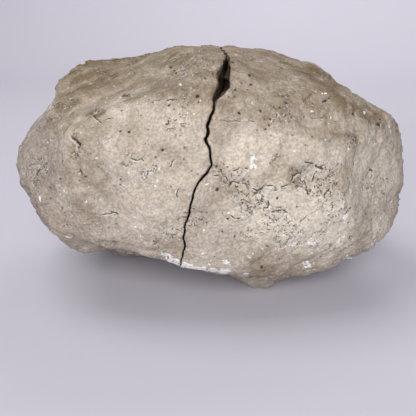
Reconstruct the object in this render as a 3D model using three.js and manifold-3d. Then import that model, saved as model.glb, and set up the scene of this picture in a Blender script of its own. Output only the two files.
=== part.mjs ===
// Halved geode: a weathered limestone nodule, cracked across its middle and set back together. Each half is
// one piece of stone. The split runs from the crown to the underside. Near the crown a chip is missing from
// its edges, and the chip opens into a small hollow that the two halves share.
// Millimetres, +Z up. X runs along the nodule, -Y is its front, and the origin lies on the surface that the
// nodule rests on, under the middle of its outline.
import * as THREE from 'three';
import { ImprovedNoise } from 'three/addons/math/ImprovedNoise.js';
import { mergeVertices } from 'three/addons/utils/BufferGeometryUtils.js';
import Module from 'manifold-3d';

const wasm = await Module();
wasm.setup();

// ---- Nodule ----
const LENGTH = 200;
const DEPTH = 126;
const HEIGHT = 120;
const CENTRE = new THREE.Vector3(0, 0, 60); // the middle that every direction on the skin is taken from
const BLOCKINESS = 2.35; // 2 is an ellipsoid, and more is squarer
const FOOT_WEAR = 1.6; // how much the lowest lumps are worn flat, which gives the resting spots
const SKIN_DETAIL = 15; // subdivisions of the icosahedron under the skin
const LEAST_TOWARDS = 0.15; // the least cosine at which a ray still meets a shaved flat

// Flats that the nodule looks shaved along: the way each faces, how far it lies from the centre, and how
// softly it rounds over into its neighbours.
const SHAVES = [
  { name: 'left crown', facing: [-0.28, -0.26, 1], distance: 54.6, softness: 1.5 },
  { name: 'right crown', facing: [0.2, -0.14, 1], distance: 59.5, softness: 1.5 },
  { name: 'left brow', facing: [-0.2, -0.9, 0.4], distance: 69.5, softness: 1.5 },
  { name: 'right brow', facing: [0.1, -0.76, 0.65], distance: 66, softness: 2 },
  { name: 'left shoulder end', facing: [-0.86, -0.05, 0.52], distance: 72, softness: 1.5 },
  { name: 'left shoulder front', facing: [-0.6, -0.64, 0.48], distance: 74, softness: 1.5 },
  { name: 'left underside', facing: [-0.2, -0.36, -0.91], distance: 47, softness: 2 },
  { name: 'left heel', facing: [-0.84, -0.14, -0.52], distance: 68, softness: 3 },
  { name: 'right underside', facing: [0.42, -0.4, -0.82], distance: 84, softness: 3 },
  { name: 'right end face', facing: [0.81, -0.58, 0.05], distance: 87.5, softness: 1 },
  { name: 'right slope', facing: [0.6, 0, 0.8], distance: 76, softness: 2 },
  { name: 'base', facing: [0, 0.08, -1], distance: 55, softness: 2 },
];

// Lumps (rise above 0) and dips (rise below 0), each a smooth swelling around a place on the skin.
const SWELLS = [
  { name: 'left shoulder', at: [-68, 12, 108], reach: 14, rise: 4 },
  { name: 'notch in the left crown', at: [-31, 16, 114], reach: 17, rise: -3.4 },
  { name: 'dent in the crown', at: [-20, 24, 118], reach: 10, rise: -1.6 },
  { name: 'lip of the crown', at: [-8, -50, 102], reach: 15, rise: 3.5 },
  { name: 'top of the crown furrow', at: [-38, -18, 108], reach: 7, rise: -1 },
  { name: 'middle of the crown furrow', at: [-44, -30, 103], reach: 7, rise: -1.4 },
  { name: 'foot of the crown furrow', at: [-54, -42, 98], reach: 8, rise: -1.8 },
  { name: 'left end', at: [-98, -4, 74], reach: 24, rise: 7 },
  { name: 'left cheek', at: [-92, -20, 58], reach: 16, rise: 2.4 },
  { name: 'left valley', at: [-62, -42, 82], reach: 15, rise: -3 },
  { name: 'pale belly', at: [-26, -58, 80], reach: 30, rise: 3 },
  { name: 'left hip', at: [-72, -46, 62], reach: 20, rise: -2 },
  { name: 'left keel', at: [-59, -38, 22], reach: 14, rise: 8 },
  { name: 'hollow under the belly', at: [-31, -43, 22], reach: 13, rise: -5 },
  { name: 'spall under the split', at: [-10, -50, 20], reach: 10, rise: -2.5 },
  { name: 'right belly', at: [30, -56, 46], reach: 36, rise: 3 },
  { name: 'right cheek', at: [48, -50, 78], reach: 22, rise: 2 },
  { name: 'right crown corner', at: [60, 4, 108], reach: 10, rise: 3 },
  { name: 'saddle right of the crown', at: [74, -2, 98], reach: 10, rise: -4 },
  { name: 'right lobe', at: [92, -8, 88], reach: 24, rise: 6 },
  { name: 'ridge before the right end', at: [62, -50, 62], reach: 9, rise: 1.6 },
  { name: 'dish in the right end', at: [73, -42, 66], reach: 10, rise: -2.4 },
  { name: 'right end', at: [98, -16, 44], reach: 34, rise: 9 },
  { name: 'right heel', at: [86, -22, 24], reach: 16, rise: 2 },
  { name: 'front foot', at: [38, -25, 0], reach: 11.5, rise: 12 },
  { name: 'left foot', at: [-43, 13, 0], reach: 19, rise: 10.8 },
  { name: 'back foot', at: [56, 36, 0], reach: 19, rise: 11 },
];

// Weathered relief on the whole skin, as noise of a wavelength and a rise.
const RELIEF = [
  { wavelength: 40, rise: 2.0 },
  { wavelength: 17, rise: 1.3 },
  { wavelength: 8, rise: 0.6 },
];

// Holes weathered into the skin: where each is, half its width, height and depth, and how far it is turned.
const PITS = [
  { name: 'long hole on the left', at: [-55.4, -51, 85.6], half: [1.2, 3.4, 2.4], turn: -30 },
  { name: 'hole under it', at: [-54.6, -55, 75.3], half: [0.9, 1.7, 1.6], turn: -8 },
  { name: 'hole on the left brow', at: [-36, -38.4, 104.1], half: [1.7, 1, 1.5], turn: 0 },
  { name: 'hole below the chip', at: [-5, -43.9, 105.3], half: [1.2, 1, 1.4], turn: 0 },
  { name: 'groove in the right end', at: [60.2, -50, 52.7], half: [1.2, 3.2, 2], turn: 24 },
];
const PIT_DETAIL = 1; // subdivisions of the icosahedron that each is made from

// ---- Split ----
const DIP = THREE.MathUtils.degToRad(22); // the split runs into the stone this far below the horizontal
// Places are given on it as [across, up], seen along the dip, with up taken from the origin.
const SPLIT_TRACE = [
  [-15.5, -14], [-15, -5], [-14.5, 2], [-13.3, 8], [-12.1, 11], [-10.6, 16.7], [-11.1, 21], [-10.6, 24.5],
  [-8.6, 30.5], [-7.7, 34.5], [-5.9, 41], [-4.3, 44.7], [-0.5, 48.4], [1, 51.8], [0.3, 56.7], [-1.5, 61.7],
  [-0.3, 64.3], [-0.9, 67.3], [0.8, 70.7], [1.8, 74], [2.5, 81], [3.8, 83.3], [6.5, 91], [8, 96],
  [8.9, 101], [7.9, 104.5], [7.3, 111], [5.4, 116.5], [6, 122], [6, 130],
];
const SPLIT_COLUMNS = 22;
const SPLIT_FRONT = 96; // how far out along the dip the cutters begin, and how far in they end
const SPLIT_BACK = -56;
const CUTTER_REACH = 130; // how far the cutters reach sideways, past either end
const TIGHT_GAP = 0.4; // between the halves where they touch
const OPEN_GAP = 1.5; // between their front edges
const OPENS = [14, 52]; // how far out along the dip the gap begins to open, and where it is fully open
const OPENS_ABOVE = [6, 36]; // how far up it begins to open fully, and where it does
const LOW_OPENING = 0.4; // the share of the opening that is left at its lower end
const ROUGHNESS = [
  { wavelength: 24, rise: 2.4 },
  { wavelength: 12, rise: 1.2 },
];
const ROUGH_FROM = 12; // how far under the skin the broken faces reach their full roughness

// ---- Chip and hollow ----
const CHIP_OUTLINE = [
  [8, 102.5], [9.3, 100], [10.2, 96.5], [9.6, 93], [8.8, 89.5], [9, 87], [8, 85.5], [6, 83.8], [3.8, 82.4],
  [2.6, 81.8], [3.3, 85.5], [4, 88.5], [4.3, 92], [5.7, 95.5],
];
const CHIP_FRONT = 92; // how far out along the dip the chip's cutter begins, and where it ends
const CHIP_BACK = 54;
const CHIP_STEPS = 6;
const CHIP_SLANT = 2.2; // how far its left wall has come over to the right at the back
const CHIP_NARROWING = 0.25; // how much of its outline it has lost at the back
const CHIP_KEPT = 0.7; // the share of its depth, from the back, over which it narrows
const HOLLOW = { at: [6.5, -22, 97], half: [8, 18, 12.5], lumpiness: 1.2, lumpSize: 7, detail: 4 };

// ---- Helpers ----
const noise = new ImprovedNoise();
const NOISE_SHIFT = new THREE.Vector3(31.7, 12.3, 5.1); // keeps the noise's own zero points off the middle

function noiseAt(point, wavelength) {
  const at = point.clone().divideScalar(wavelength).add(NOISE_SHIFT);
  return noise.noise(at.x, at.y, at.z);
}

function softMinimum(a, b, softness) {
  const nearer = Math.min(a, b);
  const apart = Math.abs(a - b);
  return nearer - softness * Math.log(1 + Math.exp(-apart / softness));
}

function bare(geometry) {
  geometry.deleteAttribute('normal');
  geometry.deleteAttribute('uv');
  return mergeVertices(geometry, 1e-4);
}

function moveVertices(geometry, move) {
  const positions = geometry.attributes.position;
  const point = new THREE.Vector3();
  for (let i = 0; i < positions.count; i += 1) {
    point.fromBufferAttribute(positions, i);
    move(point);
    positions.setXYZ(i, point.x, point.y, point.z);
  }
  return geometry;
}

// Swaps the winding of every triangle, for a geometry whose vertices were moved to its other side.
function turnInsideOut(geometry) {
  const index = geometry.index.array;
  for (let i = 0; i < index.length; i += 3) {
    [index[i], index[i + 1]] = [index[i + 1], index[i]];
  }
  return geometry;
}

function solidOf(geometry) {
  return new wasm.Manifold(new wasm.Mesh({
    numProp: 3,
    vertProperties: geometry.attributes.position.array,
    triVerts: new Uint32Array(geometry.index.array),
  }));
}

// ---- Skin ----
function superellipsoidReach(ray) {
  const along = Math.abs(ray.x / (LENGTH / 2)) ** BLOCKINESS;
  const across = Math.abs(ray.y / (DEPTH / 2)) ** BLOCKINESS;
  const up = Math.abs(ray.z / (HEIGHT / 2)) ** BLOCKINESS;
  return (along + across + up) ** (-1 / BLOCKINESS);
}

function onSuperellipsoid(ray) {
  return ray.clone().multiplyScalar(superellipsoidReach(ray));
}

const swells = SWELLS.map(({ at, reach, rise }) => {
  const ray = new THREE.Vector3(...at).sub(CENTRE).normalize();
  return { middle: onSuperellipsoid(ray), reach, rise };
});
const shaves = SHAVES.map(({ facing, distance, softness }) => ({
  facing: new THREE.Vector3(...facing).normalize(),
  distance,
  softness,
}));

// How far the skin lies from the centre along a ray of length 1.
function skinReach(ray) {
  const base = onSuperellipsoid(ray);
  let reach = base.length();
  for (const { facing, distance, softness } of shaves) {
    const towards = ray.dot(facing);
    if (towards > LEAST_TOWARDS) reach = softMinimum(reach, distance / towards, softness);
  }
  for (const { middle, reach: spread, rise } of swells) {
    reach += rise * Math.exp(-base.distanceToSquared(middle) / spread ** 2);
  }
  for (const { wavelength, rise } of RELIEF) {
    reach += rise * noiseAt(base, wavelength);
  }
  return reach;
}

function skinGeometry() {
  const skin = bare(new THREE.IcosahedronGeometry(1, SKIN_DETAIL));
  const halves = new THREE.Vector3(LENGTH / 2, DEPTH / 2, HEIGHT / 2);
  return moveVertices(skin, (point) => {
    const ray = point.multiply(halves).normalize();
    point.multiplyScalar(skinReach(ray.clone()));
  });
}

// Brings a skin around its own centre to the exact outer sizes, standing on the ground.
function fitOf(skin) {
  skin.computeBoundingBox();
  const size = skin.boundingBox.getSize(new THREE.Vector3());
  const middle = skin.boundingBox.getCenter(new THREE.Vector3());
  const standing = HEIGHT + FOOT_WEAR;
  return new THREE.Matrix4()
    .makeTranslation(0, 0, standing / 2 - FOOT_WEAR)
    .scale(new THREE.Vector3(LENGTH / size.x, DEPTH / size.y, standing / size.z))
    .multiply(new THREE.Matrix4().makeTranslation(middle.negate()));
}

const skin = skinGeometry();
const fit = fitOf(skin);
const unfit = fit.clone().invert();

function depthUnderSkin(point) {
  const ray = point.clone().applyMatrix4(unfit);
  const reached = ray.length();
  return skinReach(ray.normalize()) - reached;
}

function pitSolid({ at, half, turn }) {
  const pit = bare(new THREE.IcosahedronGeometry(1, PIT_DETAIL));
  pit.scale(half[0], half[2], half[1]);
  pit.rotateY(THREE.MathUtils.degToRad(turn));
  const ray = new THREE.Vector3(...at).applyMatrix4(unfit).normalize();
  const place = ray.clone().multiplyScalar(skinReach(ray)).applyMatrix4(fit);
  pit.translate(place.x, place.y, place.z);
  return solidOf(pit);
}

// ---- Split ----
// Turns a place given along the dip, with x across, y up and z out of the stone, to the part's own axes.
function fromDip(point) {
  return point.set(
    point.x,
    point.y * Math.sin(DIP) - point.z * Math.cos(DIP),
    point.y * Math.cos(DIP) + point.z * Math.sin(DIP),
  );
}

function openingAt(up, out) {
  const front = THREE.MathUtils.smoothstep(out, ...OPENS);
  const above = THREE.MathUtils.smoothstep(up, ...OPENS_ABOVE);
  return TIGHT_GAP + (OPEN_GAP - TIGHT_GAP) * front * THREE.MathUtils.lerp(LOW_OPENING, 1, above);
}

// What lies right of the split (side 1) or left of it (side -1), to be cut away from the other half. Both
// have the same grid on the split, so that the broken faces match.
function splitCutter(side) {
  const rows = SPLIT_TRACE.length - 1;
  const box = bare(new THREE.BoxGeometry(1, 1, 1, 1, rows, SPLIT_COLUMNS));
  moveVertices(box, (point) => {
    const [across, up] = SPLIT_TRACE[Math.round((point.y + 0.5) * rows)];
    const out = THREE.MathUtils.lerp(SPLIT_BACK, SPLIT_FRONT, point.z + 0.5);
    const onSplit = point.x < 0;
    if (!onSplit) {
      fromDip(point.set(CUTTER_REACH * side, up, out));
      return;
    }
    fromDip(point.set(across, up, out));
    const rough = THREE.MathUtils.smoothstep(depthUnderSkin(point), 0, ROUGH_FROM);
    const placed = point.clone();
    for (const { wavelength, rise } of ROUGHNESS) {
      point.x += rough * rise * noiseAt(placed, wavelength);
    }
    point.x -= (side * openingAt(up, out)) / 2;
  });
  return solidOf(side > 0 ? box : turnInsideOut(box));
}

// ---- Chip and hollow ----
function chipSolid() {
  const outline = new THREE.Shape(CHIP_OUTLINE.map(([across, up]) => new THREE.Vector2(across, up)));
  const chip = bare(new THREE.ExtrudeGeometry(outline, {
    depth: CHIP_FRONT - CHIP_BACK,
    steps: CHIP_STEPS,
    bevelEnabled: false,
  }));
  const bounds = new THREE.Box2().setFromPoints(outline.getPoints());
  const middle = bounds.getCenter(new THREE.Vector2());
  const size = bounds.getSize(new THREE.Vector2());
  moveVertices(chip, (point) => {
    const inwards = 1 - THREE.MathUtils.smoothstep(point.z / (CHIP_FRONT - CHIP_BACK), 0, CHIP_KEPT);
    const leftness = THREE.MathUtils.clamp(0.5 - (point.x - middle.x) / size.x, 0, 1);
    const kept = 1 - CHIP_NARROWING * inwards;
    point.x = middle.x + (point.x - middle.x) * kept + CHIP_SLANT * leftness * inwards;
    point.y = middle.y + (point.y - middle.y) * kept;
    point.z += CHIP_BACK;
    fromDip(point);
  });
  return solidOf(chip);
}

function hollowSolid() {
  const hollow = bare(new THREE.IcosahedronGeometry(1, HOLLOW.detail));
  moveVertices(hollow, (point) => {
    const outwards = point.clone();
    point.multiply(new THREE.Vector3(...HOLLOW.half));
    point.addScaledVector(outwards, HOLLOW.lumpiness * noiseAt(point, HOLLOW.lumpSize));
  });
  hollow.translate(...HOLLOW.at);
  return solidOf(hollow);
}

// ---- Halves ----
const nodule = solidOf(skin.applyMatrix4(fit))
  .trimByPlane([0, 0, 1], 0)
  .subtract(chipSolid())
  .subtract(hollowSolid())
  .subtract(wasm.Manifold.union(PITS.map(pitSolid)));

function meshOf(name, solid, material) {
  const made = solid.getMesh();
  const geometry = new THREE.BufferGeometry();
  geometry.setAttribute('position', new THREE.BufferAttribute(new Float32Array(made.vertProperties), 3));
  geometry.setIndex(new THREE.BufferAttribute(new Uint32Array(made.triVerts), 1));
  geometry.computeVertexNormals();
  const mesh = new THREE.Mesh(geometry, material);
  mesh.name = name;
  return mesh;
}

const paleLimestone = new THREE.MeshStandardMaterial({ color: 0xc4b8aa, roughness: 0.95, metalness: 0 });
const brownLimestone = new THREE.MeshStandardMaterial({ color: 0xb8aa98, roughness: 0.95, metalness: 0 });

const geode = new THREE.Group();
geode.add(meshOf('left_half', nodule.subtract(splitCutter(1)), paleLimestone));
geode.add(meshOf('right_half', nodule.subtract(splitCutter(-1)), brownLimestone));

export default geode;
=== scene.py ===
"""Halved geode: the looks of a weathered limestone nodule that is cracked in two and set back together.

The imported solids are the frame. Each half gets its fine weathered skin and its stone, and the stage gets a
floor, lights and a camera. Objects are in metres. The relief is worked out in millimetres.
"""
import math

import bmesh
import bpy
import numpy as np
from bpy.props import FloatProperty, FloatVectorProperty, IntProperty, PointerProperty
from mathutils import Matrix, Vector
from mathutils.bvhtree import BVHTree


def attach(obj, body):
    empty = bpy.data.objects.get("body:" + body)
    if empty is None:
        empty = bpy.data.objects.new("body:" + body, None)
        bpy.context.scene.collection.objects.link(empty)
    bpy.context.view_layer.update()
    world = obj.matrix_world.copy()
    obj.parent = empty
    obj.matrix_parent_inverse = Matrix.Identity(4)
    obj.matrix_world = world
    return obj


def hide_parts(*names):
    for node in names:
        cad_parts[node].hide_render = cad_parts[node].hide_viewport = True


bl_info = {
    "name": "Halved Geode",
    "version": (1, 0, 0),
    "blender": (4, 5, 0),
    "location": "3D View > Sidebar > Geode",
    "description": "The two halves of a weathered limestone geode, with a floor, lights and a camera",
    "category": "Add Mesh",
}

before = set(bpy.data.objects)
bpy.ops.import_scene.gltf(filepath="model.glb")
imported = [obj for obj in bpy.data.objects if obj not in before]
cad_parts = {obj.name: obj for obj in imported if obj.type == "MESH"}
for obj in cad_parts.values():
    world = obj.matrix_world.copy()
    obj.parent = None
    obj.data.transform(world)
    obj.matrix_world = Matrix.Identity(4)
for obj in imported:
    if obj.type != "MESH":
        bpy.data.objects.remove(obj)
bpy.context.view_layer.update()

BODY = "root"
HALVES = {"left_half": "left_half_stone", "right_half": "right_half_stone"}
MM = 0.001

# ---- Places on the stone, in millimetres ----
CENTRE = np.array((0.0, 0.0, 60.0))  # the middle that the relief is pushed out from
HALF_SIZES = np.array((100.0, 63.0, 60.0))
# Marks on the front are placed as seen from DIP above the horizontal, as [across, up].
DIP = math.radians(22)
FRONT_FROM = (20.0, 34.0)  # how far out along the dip the front's own marks begin, and where they are full

# The chip near the crown, which opens to the dark inside, as a line down its middle.
CHIP_SPINE = [(8.6, 102), (7.6, 96), (6.6, 88), (4, 82.5)]
# How far each half is worn back further at the chip, and over which heights: none, full, full, none.
CHIP_WIDER = {"left_half": (-1.4, (86, 92, 99, 104)), "right_half": (1.3, (76, 80, 84, 88))}
# Its edge on the right half, which is sharp, and how deep the stone inside that edge is cut away.
CHIP_LIP = [(2.4, 77.5), (3.3, 79), (5, 81.2), (6.7, 83.3), (7.8, 84.6), (8.9, 87.7), (9.2, 91), (9.5, 94)]
CHIP_CUT = 2.5
# Painted shade on the chip's walls begins this far under the skin on each half.
CHIP_DARK_FROM = {"left_half": (4, 8), "right_half": (0.3, 1.2)}  # how far in its walls turn dark
# Crevices weathered into the front: a line, its width and its depth.
CREVICES = [
    ([(9.5, 46), (9.5, 48), (10.5, 49), (12, 50), (13, 50.5), (16, 50)], 0.3, 0.5),
    ([(2.5, 46.5), (5, 46.8), (7, 46.5), (8, 45)], 0.25, 0.4),
    ([(7, 44), (9.5, 43.4), (10, 44), (12, 44), (13.5, 44.3), (15.5, 43.5)], 0.4, 0.7),
    ([(9, 42.5), (10, 43.6)], 0.4, 0.6),
    ([(17, 44), (18, 42), (19.5, 41), (21.5, 41), (23, 42.8)], 0.35, 0.7),
    ([(18, 38.8), (20, 39.6), (21.5, 40.4), (22.6, 42)], 0.45, 0.9),
    ([(21.8, 40), (23, 38.3)], 0.4, 0.7),
    ([(24.5, 42.6), (27, 42.5), (29, 42), (30.5, 42.5), (33, 43)], 0.35, 0.6),
    ([(28, 41), (31, 40.7)], 0.35, 0.5),
    ([(23.6, 33.5), (25.5, 33.8), (26, 34.6), (25.4, 35.4)], 0.4, 0.7),
    ([(29, 33.5), (31.5, 33.2)], 0.35, 0.5),
    ([(28, 31.4), (29.5, 31.5), (32, 32.2)], 0.45, 0.8),
    ([(9.5, 30), (11, 29), (12.6, 29)], 0.3, 0.5),
    ([(38, 53.2), (40.5, 52.5), (43.5, 52.6)], 0.4, 0.8),
    ([(45.3, 51.3), (46.5, 50.4), (48, 49.8)], 0.45, 0.9),
    ([(46.5, 50.5), (49, 51.8)], 0.35, 0.6),
    ([(36, 44.2), (37, 43), (40, 42.4)], 0.45, 0.8),
    ([(40, 42.2), (42, 40.5), (43, 39.2), (43.8, 38)], 0.45, 0.9),
    ([(50.3, 39.2), (51.6, 41.3)], 0.4, 0.8),
    ([(35, 45), (35.5, 46.5), (37, 47.5), (38.6, 48)], 0.35, 0.6),
    ([(39, 50), (39.6, 48)], 0.3, 0.5),
    ([(41.3, 44.5), (42, 42)], 0.35, 0.6),
    ([(45.2, 47.8), (44.5, 45.3)], 0.3, 0.5),
    ([(40.3, 27.3), (43, 29.6)], 0.3, 0.5),
    ([(-45.5, 30.5), (-43.5, 31), (-41.5, 31.5), (-39.5, 31)], 0.3, 0.5),
    ([(-12.5, 41.5), (-13.5, 39.5), (-13, 37)], 0.3, 0.5),
    ([(-50.8, 74.4), (-48, 71), (-46, 69.3)], 0.3, 0.6),
    ([(-44, 71.4), (-42.3, 72)], 0.3, 0.5),
    ([(-32.8, 54.5), (-31.5, 54), (-29.5, 53), (-28, 54), (-26.8, 53)], 0.28, 0.5),
    ([(-16.2, 50.8), (-15, 52.8)], 0.35, 0.6),
    ([(-42, 62), (-40.8, 62.6)], 0.3, 0.5),
    ([(-25.4, 48.7), (-26, 47.3)], 0.3, 0.5),
    ([(-57, 63.4), (-55.8, 61.8), (-54.6, 60.3), (-54.2, 58.2)], 0.55, 1.7),
    ([(-54.7, 49.6), (-54, 47.9)], 0.6, 1.5),
    ([(59.8, 28.2), (61, 30.5), (61.6, 32)], 0.6, 1.5),
    ([(44, 72), (46, 72.4), (48, 72), (50.5, 72.4)], 0.2, 0.3),
    ([(5.5, 70), (9, 69.5), (11, 69.9), (13.5, 69), (18, 69.5)], 0.18, 0.3),
    ([(-27, 77.8), (-22, 78.4), (-17.5, 78.2), (-13, 79), (-9.5, 79)], 0.18, 0.3),
]
# Holes in the front: across, up, radius and depth.
HOLES = [
    (29.5, 37.5, 0.6, 0.9), (33.5, 32, 0.6, 0.9), (3.5, 41, 0.8, 1.1), (8, 28, 0.5, 0.7),
    (14.5, 35, 0.6, 0.8), (6, 30.5, 0.4, 0.6), (-37, 65.5, 0.5, 0.8), (-33.5, 65, 0.5, 0.7),
    (-26.5, 60, 0.4, 0.6), (-37.5, 45.5, 0.5, 0.8), (-62, 53.5, 0.5, 0.7), (-37.5, 83.3, 1.5, 0.3),
    (-44.4, 83.3, 0.7, 0.4), (-18.5, 100.5, 0.7, 0.8), (-16.5, 97.5, 0.6, 0.8), (-15.2, 95.5, 0.5, 0.7),
    (-6, 97.5, 0.6, 0.8), (-5, 81, 0.8, 1.2), (-17, 76.5, 0.6, 0.8), (-23.5, 77.5, 0.4, 0.6),
    (-19.5, 57.6, 0.6, 0.8), (34.5, 100, 0.8, 1.0), (17.5, 91, 0.7, 0.9), (18, 86.5, 0.6, 0.8),
    (21.5, 74, 0.6, 0.8), (32.5, 78, 0.6, 0.8), (49, 98, 0.6, 0.7), (51, 81, 0.6, 0.8), (53, 82, 0.5, 0.6),
    (64.5, 75.5, 0.8, 1.0), (79, 72, 0.9, 1.0), (77.5, 51.5, 0.7, 0.9), (74.5, 42.5, 0.4, 0.6),
    (78, 42.5, 0.4, 0.6), (65, 37.5, 0.5, 0.7), (63, 33.5, 0.6, 0.8), (64, 26.5, 0.6, 0.8),
    (66, 19.5, 0.7, 0.9), (25.5, 68.5, 0.6, 0.9), (24, 66.5, 0.4, 0.6), (12.5, 73, 0.5, 0.8),
    (11, 83.5, 0.5, 0.8), (-36.1, 83.4, 1.4, 0.3), (24.3, 6.3, 0.8, 0.5),
]
# Beds of the stone that weather back a little faster.
BEDS = [
    [(19.5, 80.5), (30.5, 81), (41.5, 80.5), (53, 79)],
    [(20.5, 81.5), (31.5, 72.5), (39.5, 68.5), (49, 66), (57, 64.3), (66, 64.5)],
    [(27.5, 75), (38.5, 73.5), (54.5, 72)],
    [(14, 68), (25.5, 66), (38.5, 64), (54, 61.5)],
    [(27, 62), (38.5, 60), (52, 58)],
    [(-56, 75.5), (-51, 79), (-45.5, 85.5), (-37, 90)],
]
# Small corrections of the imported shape: a place on the skin, how far around it they reach, and the push.
PUSHES = [
    ((-97, -4, 72), 12, -1.6), ((-84, -36, 57), 12, 1.7), ((-74, 4, 98), 8, 1.5), ((-64, 9, 108), 6, 1.3),
    ((42, 2, 113), 12, -0.9), ((72, -20, 98), 9, -1.0), ((-57, -34, 25), 10, 0.8), ((-12, -32, 20), 9, 0.9),
    ((-11.5, -52, 28), 7, 2.2), ((94, -12, 68), 14, -0.7), ((84, -29, 46), 11, -0.9),
    ((37, -39, 15.5), 8, -3.0), ((37, -29.5, 8), 6, -2.4),
]
LASTING = 1.5  # crevices this deep aren't broken up
NARROWEST = 0.4  # half the width of a crevice in the mesh, at least
FAR_ASIDE = 6.0  # beyond this many widths, a place has nothing to do with a crevice or a hole
OVERHANG = [(-68, 22), (-56, 18), (-46.5, 18), (-35, 16.5), (-23, 13.5)]  # the front's lower edge on the left

# Blobs: across, up, half the width, half the height and strength.
WRINKLED = (-49, 55, 10, 26, 1.0)  # the valley on the left
POROUS = [  # where the skin is riddled with short crevices
    (44, 46, 11, 8, 1.0), (24, 38, 16, 9, 0.7), (10, 46, 8, 6, 0.35), (34, 24, 22, 9, 0.5),
    (-30, 50, 12, 12, 0.25), (-49, 73, 5, 4, 0.7), (-55, 60, 4, 10, 0.4), (-5, 96, 9, 8, 0.8),
    (-26, 58, 6, 3, 0.4),
]
CALCITE = [  # fresh white
    (18.2, 54.3, 2.2, 2.8, 0.95), (18.6, 51, 1.4, 2.4, 0.85), (17, 49, 2.2, 1.2, 0.4),
    (47.5, 17, 3.6, 0.9, 0.9), (38, 17, 1.7, 1.3, 0.9), (54, 22.5, 1.6, 1.4, 0.7), (57, 30, 2.4, 1.6, 0.8),
    (22.5, 22, 2.2, 0.6, 0.8), (69, 8.5, 2.6, 0.9, 0.8), (47, 6.5, 1.8, 2.0, 0.7), (9.5, 8, 1.5, 0.8, 0.7),
    (83.5, 25, 3.0, 3.4, 0.4), (85, 72.5, 0.9, 1.6, 0.9), (86, 69.5, 0.7, 1.4, 0.9),
    (51, 84.5, 1.5, 0.9, 0.7), (68, 77.5, 1.6, 0.7, 0.8), (-74.5, 38, 1.2, 2.2, 0.9),
    (-64, 20, 3.2, 0.8, 0.8), (1, 41, 1.8, 1.0, 0.7), (-1, 43.5, 1.3, 1.1, 0.7), (-7, 30, 0.8, 1.4, 0.7),
    (3, 50, 0.9, 2.4, 0.4), (13, 9, 2.0, 0.8, 0.6), (16, 76, 0.8, 1.2, 0.5), (26, 47.5, 2.0, 2.2, 0.5),
    (-27, 44, 5, 5, 0.35), (60, 19, 3, 2, 0.6), (79, 22, 3, 2, 0.6), (12, 17, 1.4, 1, 0.7),
    (-2.7, 13, 1.5, 1.2, 0.8), (6.5, 9.6, 2.6, 1.0, 0.7), (-12.5, 86, 1.1, 0.9, 0.8),
    (-29, 75, 0.9, 0.7, 0.7), (44, 75, 0.6, 0.6, 0.8), (17, 3.5, 2.0, 0.8, 0.8), (-57.5, 16, 2.2, 0.7, 0.6),
    (-11, 14, 1.4, 1.0, 0.7), (24, 12, 26, 6, 0.2), (60, 30.5, 1.4, 2.0, 0.8), (48, 5.2, 2.4, 0.9, 0.85),
    (67.5, 9.6, 2.2, 0.9, 0.85), (71.8, 77.5, 0.7, 1.4, 0.85), (85.5, 27, 0.8, 1.6, 0.7),
    (-2.7, 12.5, 1.3, 0.7, 0.75), (-0.1, 9.6, 0.9, 0.8, 0.8), (4.4, 8.4, 1.4, 0.7, 0.8),
    (10.8, 5.9, 1.3, 0.7, 0.75),
]
# A fresh flake under the crack.
SPALL = [(-21, 12.4), (-15.5, 9.4), (-11.5, 7.7), (-5, 6.3), (1.3, 5.5), (9, 4.4)]
# The lower edge of the crown's soil stain, and the line on the right above which it is at its darkest.
STAIN_EDGE = [
    (-80, 92), (-57, 84), (-45, 83), (-36, 79.5), (-25, 77.5), (-12, 77.5), (2, 77), (15, 72), (30, 66),
    (50, 62), (60, 70), (75, 76), (100, 78),
]
DARK_EDGE = [
    (-80, 92), (-57, 86), (-20, 79), (2, 80), (15, 86), (30, 88), (45, 88), (55, 86), (70, 80), (100, 82),
]
# Soil, and painted shade on the shoulders and along the crown's top outline.
SOIL_AND_SHADE = [  # more soil
    (26, 4.5, 8, 5, 0.4), (-58, 96, 14, 11, 1.0), (-66, 84, 8, 7, 0.8), (56, 90, 8, 7, 0.85),
    (47, 99, 12, 6, 0.95), (88, 73, 5, 4, 0.25), (-45, 16, 12, 4, 0.35), (-20, 104, 22, 6, 0.8),
    (-50, 62, 8, 22, 0.45), (-66, 72, 9, 6, 0.5), (36, 74, 22, 7, 0.4), (-50, 74.5, 5, 3, 0.9),
    (30, 80, 26, 13, 0.53), (36, 47, 3.5, 5, 0.5), (21, 10.5, 6, 2.2, 0.4),
]
# Soil that lies along a line, with painted shade in the band along the right shoulder's outline: the line,
# half its width and its strength.
SOIL_AND_SHADE_LINES = [
    ([(38, 104), (46, 96), (52, 89), (57, 83), (63, 78), (76, 76)], 7.0, 1.0),
    ([(20, 82), (31.5, 72.5), (39.5, 68.5), (49, 66), (66, 64.5)], 1.8, 0.55),
    ([(-68, 71), (-56, 76), (-51, 79.5), (-45.5, 85.5), (-36, 90)], 4.5, 0.6),
    ([(-45.5, 64), (-46, 57), (-47, 46), (-44, 36)], 1.2, 0.35),
    ([(-61, 52), (-58, 44), (-54, 33), (-44, 24)], 2.5, 0.3),
]
CHALKY = [  # rubbed pale
    (-24, 42, 13, 12, 0.5), (-14, 68, 11, 8, 0.3), (36, 30, 22, 16, 1.0), (58, 26, 8, 12, 1.0),
    (50, 17, 18, 6, 0.9), (80, 48, 12, 22, 0.5), (16, 54, 9, 12, 0.7), (-20, 28, 14, 7, 0.25),
    (24, 62, 7, 4, 0.6), (72, 68, 6, 5, 0.4), (-4, 92, 6, 7, 0.6), (84, 20, 7, 12, 0.5),
]
GREYISH = [
    (-80, 52, 19, 30, 1.0), (-58, 30, 14, 10, 0.4), (8, 66, 6, 8, 0.4), (-4, 34, 8, 8, 0.3),
    (10, 46, 9, 6, 0.3), (-27, 46, 20, 26, 0.24),
]
# The ridge that parts the front from the flatter, greyer right end.
END_RIDGE = [(57, 8), (58, 22), (60.5, 30), (64, 43.5), (71, 59.5), (77, 70), (90, 90)]

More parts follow.
